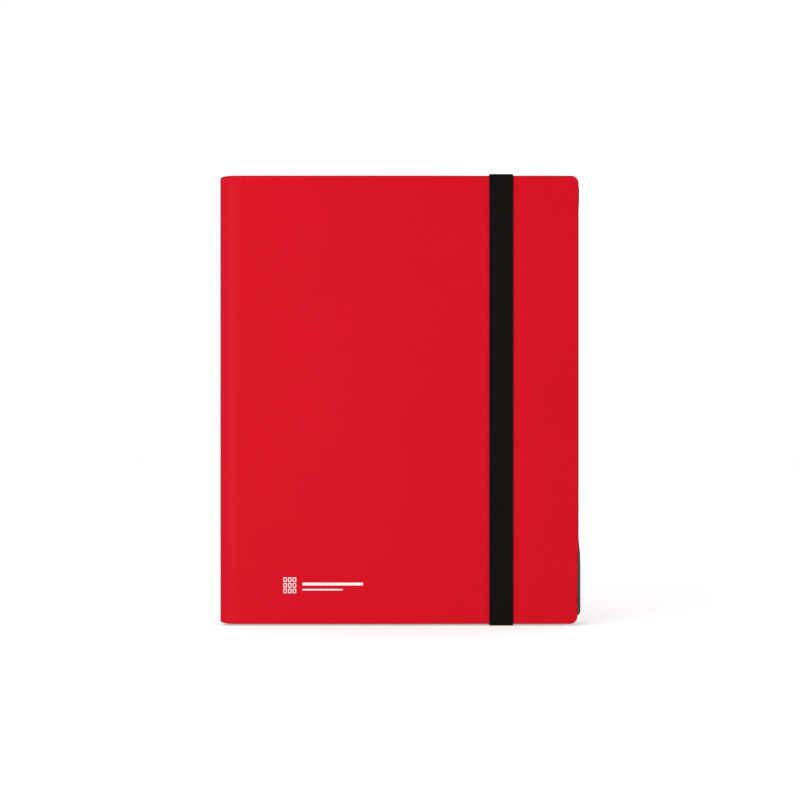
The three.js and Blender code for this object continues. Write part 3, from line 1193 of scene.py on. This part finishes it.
def elasticTree():
    # a ribbed band that follows a path
    g = shapeGraph("ribbedElastic", (
        ("Path", "Geometry"), ("Width", "Float"), ("Thickness", "Float"), ("Rib Pitch", "Float"),
        ("Rib Depth", "Float"), ("Selvage", "Float"), ("Material", "Material"),
    ))
    width, thickness, selvage = g.sizes("Width", "Thickness", "Selvage")
    ribPitch, ribDepth = g.sizes("Rib Pitch", "Rib Depth")
    inputs = {"Curve": g.given["Path"], "Normal": (1.0, 0.0, 0.0)}
    path = g.step("GeometryNodeSetCurveNormal", inputs, {"mode": "FREE"})
    path = g.store(path, "along", g.node("GeometryNodeSplineParameter").outputs["Length"])
    inputs = {"Resolution": strap["ringSteps"], "Radius": 1.0}
    ring = g.step("GeometryNodeCurvePrimitiveCircle", inputs, {"mode": "RADIUS"})
    turn = num(g, g.node("GeometryNodeSplineParameter").outputs["Factor"]) * math.tau
    # even steps across the band, over the top and back underneath
    across = width / 2 * g.math("ARCSINE", g.cosine(turn)) * (2 / math.pi)
    part = g.math("MINIMUM", (width / 2 - abs(across)) / selvage, 1.0)
    edge = g.math("SQRT", g.math("MAXIMUM", 1.0 - (1.0 - part) * (1.0 - part), 0.0))
    rib = 1.0 - ribDepth * (0.5 - 0.5 * g.cosine(across * math.tau / ribPitch))
    height = g.math("SIGN", g.sine(turn)) * thickness / 2 * edge * rib
    profile = g.store(g.move(ring, across, height, 0.0), "across", across)
    swept = g.step("GeometryNodeCurveToMesh", {"Curve": path, "Profile Curve": profile, "Fill Caps": True})
    return g.close(g.merge(swept, strap["mergeWithin"]))


bandTree = elasticTree()


def bandAlong(name, path):
    curve = bpy.data.curves.new(name, "CURVE")
    curve.dimensions = "3D"
    spline = curve.splines.new("POLY")
    spline.points.add(len(path) - 1)
    for point, place in zip(spline.points, path):
        point.co = (*place, 1.0)
    mesh = runTree(name, bandTree, {
        "Width": 2 * strapHalf, "Thickness": strap["thickness"], "Rib Pitch": elasticLook["ribPitch"],
        "Rib Depth": strap["ribDepth"], "Selvage": strap["selvage"], "Material": elastic,
    }, curve)
    mesh.name = name
    piece = bpy.data.objects.new(name, mesh)
    scene.collection.objects.link(piece)
    smoothShade(mesh, 60.0)
    return piece


def quarter(centreY, centreZ, fromAngle, toAngle, steps=8):
    angles = np.linspace(math.radians(fromAngle), math.radians(toAngle), steps + 1)
    return [
        (strapX, centreY + strap["bend"] * math.cos(angle), centreZ + strap["bend"] * math.sin(angle))
        for angle in angles
    ]


def makeStrap():
    low = lowMiddle + strap["bend"]
    high = topMiddle - strap["bend"]
    straight = [(strapX, -strapMiddle, z) for z in np.linspace(low, high, 40)[1:-1]]
    lowBend = quarter(-strapBend, low, 270, 180)
    highBend = quarter(-strapBend, high, 180, 90)
    run = bandAlong("strapFrontRun", lowBend + straight + highBend)
    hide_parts("strap_front_run")
    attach(run, "strap")
    slotLow = coverBottom + cover["slotInset"]
    slotHigh = coverTop - cover["slotInset"]
    inside = halfDepth - sheet - strap["tailEnd"]
    ends = (("bottom", -1, lowMiddle, slotLow, low), ("top", 1, topMiddle, slotHigh, high))
    for end, side, z, slotZ, bendZ in ends:
        leg = bandAlong(f"strapLeg_{end}", [(strapX, y, z) for y in np.linspace(-strapBend, strapBend, 9)])
        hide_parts(f"strap_{end}_leg")
        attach(leg, "back_cover")
        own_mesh(leg)
        edgeBend = quarter(strapBend, bendZ, side * 90, 0)
        slotBend = quarter(strapBend, slotZ + side * strap["bend"], 0, side * -90)
        inward = [(strapX, y, slotZ) for y in np.linspace(strapBend, inside, 5)[1:]]
        tail = bandAlong(f"strapTail_{end}", edgeBend + slotBend + inward)
        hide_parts(f"strap_{end}_tail")
        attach(tail, "back_cover")


makeStrap()
print("strap made")


# the crimped bars on the strap's ends

crimp = {
    "plate": 0.5 * mm,
    "foldRound": 0.45 * mm,
    "foldRun": 0.9 * mm,  # from the fold's round to where the teeth bite
    "insideGap": 0.05 * mm,
    "plainEnd": 2.0 * mm,
    "stations": 61,  # along the bar
    "teeth": 6,
    "toothDepth": 0.16 * mm,
    "edgeRound": 0.08 * mm,
}


def crimpBar(name, node):
    low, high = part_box(node)
    middleZ = (low.z + high.z) / 2
    outer = (high.z - low.z) / 2
    inner = outer - crimp["plate"]
    r = crimp["foldRound"]
    bitten = low.y + r + crimp["foldRun"]
    # half of the folded section, from the open edge round to the middle of the fold
    outside = [(high.y, outer), (bitten, outer), (low.y + r, outer)]
    for turn in np.linspace(0, math.pi / 2, 6)[1:]:
        outside.append((low.y + r - r * math.sin(turn), outer - r + r * math.cos(turn)))
    inside = [(high.y, inner), (bitten, inner), (low.y + crimp["plate"] + crimp["insideGap"], inner)]
    section = outside + [(y, -z) for y, z in outside[::-1]]
    section += [(y, -z) for y, z in inside] + [(y, z) for y, z in inside[::-1]]
    xs = np.linspace(low.x, high.x, crimp["stations"])
    toothedLength = high.x - low.x - 2 * crimp["plainEnd"]
    toothSpan = toothedLength / crimp["teeth"]
    vertices = []
    for x in xs:
        fromStart = x - low.x - crimp["plainEnd"]
        inTeeth = 0.0 <= fromStart <= toothedLength
        bite = math.sin(math.pi * fromStart / toothSpan) ** 2 if inTeeth else 0.0
        for y, z in section:
            pressed = crimp["toothDepth"] * bite if y == bitten else 0.0
            vertices.append((x, y, middleZ + z - math.copysign(pressed, z)))
    count = len(section)
    faces = []
    for i in range(len(xs) - 1):
        for k in range(count):
            n = (k + 1) % count
            faces.append((i * count + k, i * count + n, (i + 1) * count + n, (i + 1) * count + k))
    last = (len(xs) - 1) * count
    faces.append(tuple(range(count))[::-1])
    faces.append(tuple(range(last, last + count)))
    piece = newPiece(name, vertices, faces, crimpSteel)
    pointOutward(piece.data)
    roundEdges(piece.data, crimp["edgeRound"], lambda edge: True, 1, 70.0)
    smoothShade(piece.data)
    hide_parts(node)
    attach(piece, "back_cover")


crimpBar("crimpBar_bottom", "strap_bottom_crimp")
crimpBar("crimpBar_top", "strap_top_crimp")
print("crimps made")
